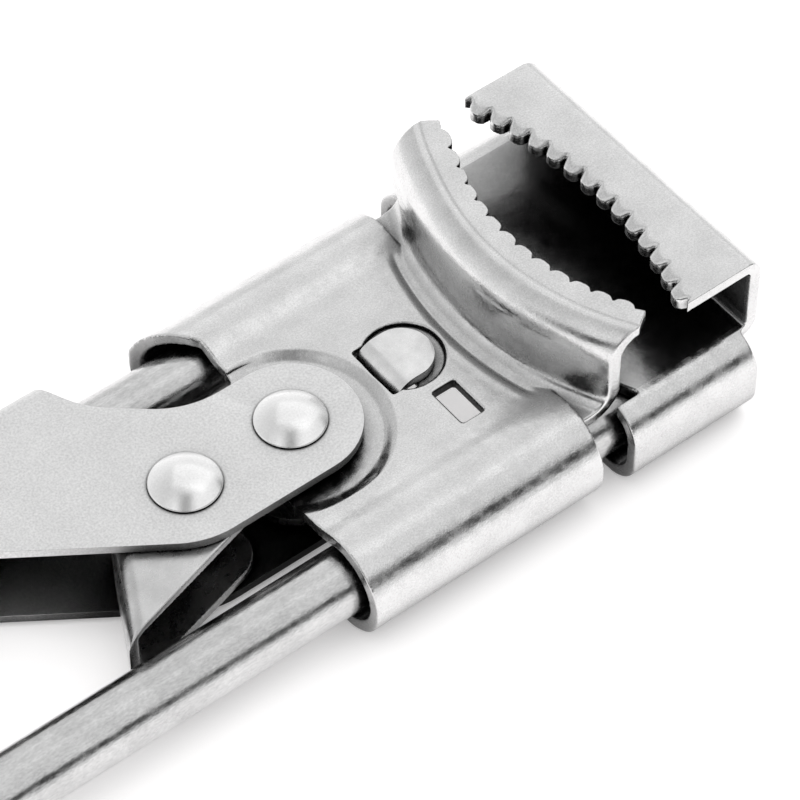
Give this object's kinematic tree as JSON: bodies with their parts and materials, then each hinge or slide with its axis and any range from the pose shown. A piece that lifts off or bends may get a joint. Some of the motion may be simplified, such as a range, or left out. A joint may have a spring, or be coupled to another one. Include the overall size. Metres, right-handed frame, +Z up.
{
  "type": "adjustable jar opener",
  "caption": "Adjustable stainless jar and bottle opener: a fixed serrated jaw on two rails and a sliding serrated jaw that a squeeze lever ratchets closed.",
  "frame": {"origin": "centre of the bounding box, on the plane that the tool lies on", "axes": "+X along the rails from the handles to the fixed jaw, +Y to the side that the lever opens to, +Z up"},
  "size_m": [0.206, 0.0602, 0.0293],
  "materials": {
    "tube_steel": "satin-bright stainless tube with faint lengthwise streaks",
    "polished_sheet": "polished stainless sheet with rubbed, slightly mottled bands",
    "bracket_sheet": "fine tumbled stainless sheet",
    "tumbled_sheet": "matte tumbled stainless sheet with rubbed edges",
    "pawl_sheet": "polished stainless sheet",
    "rivet_steel": "polished domed rivet",
    "turned_steel": "plain turned steel",
    "spring_wire": "drawn spring wire"
  },
  "bodies": {
    "frame": {"rail_frame": "tube_steel", "fixed_jaw": "polished_sheet"},
    "carriage": {"carriage_shell": "polished_sheet", "pivot_bracket": "bracket_sheet", "pivot_bush": "turned_steel", "pivot_rivet": "rivet_steel", "upper_pivot_washer": "turned_steel", "lower_pivot_washer": "turned_steel"},
    "lever": {"lever": "tumbled_sheet", "pawl_rivet": "rivet_steel"},
    "pawl": {"pawl": "pawl_sheet", "pawl_bush": "turned_steel", "pawl_spring": "spring_wire"}
  },
  "joints": [
    {"name": "carriage_slide", "type": "slide", "parent": "frame", "child": "carriage", "axis": [1, 0, 0], "range_m": [-0.06, 0.0015]},
    {"name": "lever_pivot", "type": "hinge", "parent": "carriage", "child": "lever", "pos_m": [0.037, 0, 0.0084], "axis": [0, 0, -1], "range_deg": [0, 30]},
    {"name": "pawl_pivot", "type": "hinge", "parent": "lever", "child": "pawl", "pos_m": [0.0184, 0, 0.0084], "axis": [0, 0, 1], "range_deg": [0, 57]}
  ],
  "couplings": [
    {"joint": "pawl_pivot", "follows": "lever_pivot", "ratio": 1.9}
  ]
}
